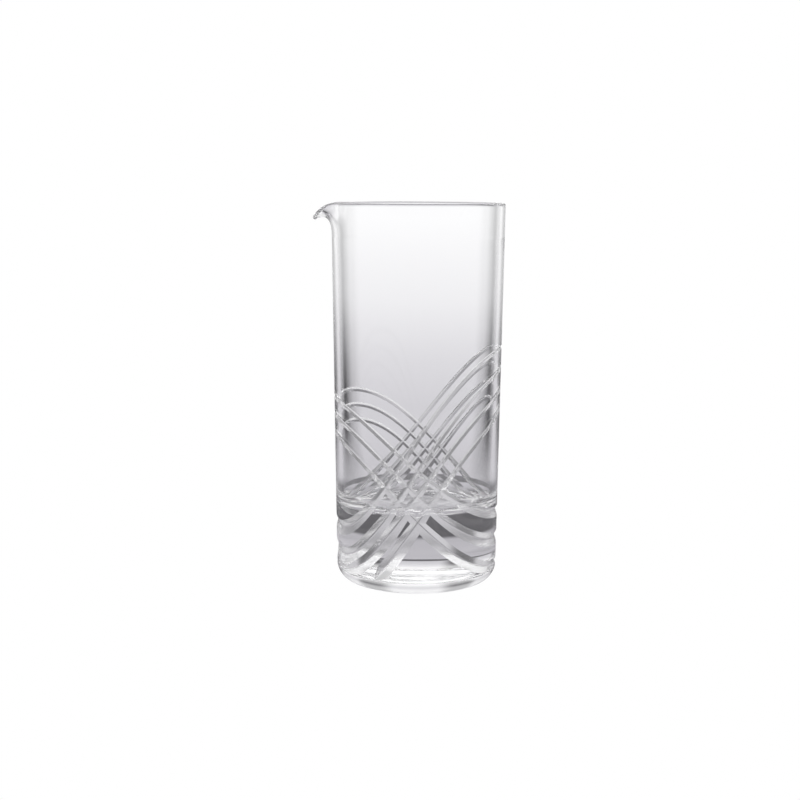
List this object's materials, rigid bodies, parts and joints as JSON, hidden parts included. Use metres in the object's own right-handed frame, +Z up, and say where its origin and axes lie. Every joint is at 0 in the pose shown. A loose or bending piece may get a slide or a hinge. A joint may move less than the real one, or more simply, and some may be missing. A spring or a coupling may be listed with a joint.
{
  "type": "mixing glass",
  "caption": "Tall straight-sided cocktail mixing glass in clear glass with a thick solid foot, a pulled pouring lip and crossing cut rings round the lower half.",
  "frame": {"origin": "on the glass's axis, on the flat face under the foot that it stands on", "axes": "+Z up along the glass's axis towards the open rim, the pouring lip points to -X, and the crossing of the cut rings faces -Y"},
  "size_m": [0.0928, 0.084, 0.1851],
  "materials": {
    "foot_glass": "polished clear glass with satin cut grooves",
    "wall_glass": "polished clear glass",
    "lip_glass": "fire-polished clear glass"
  },
  "bodies": {
    "root": {"foot": "foot_glass", "wall": "wall_glass", "lip": "lip_glass"}
  },
  "joints": []
}
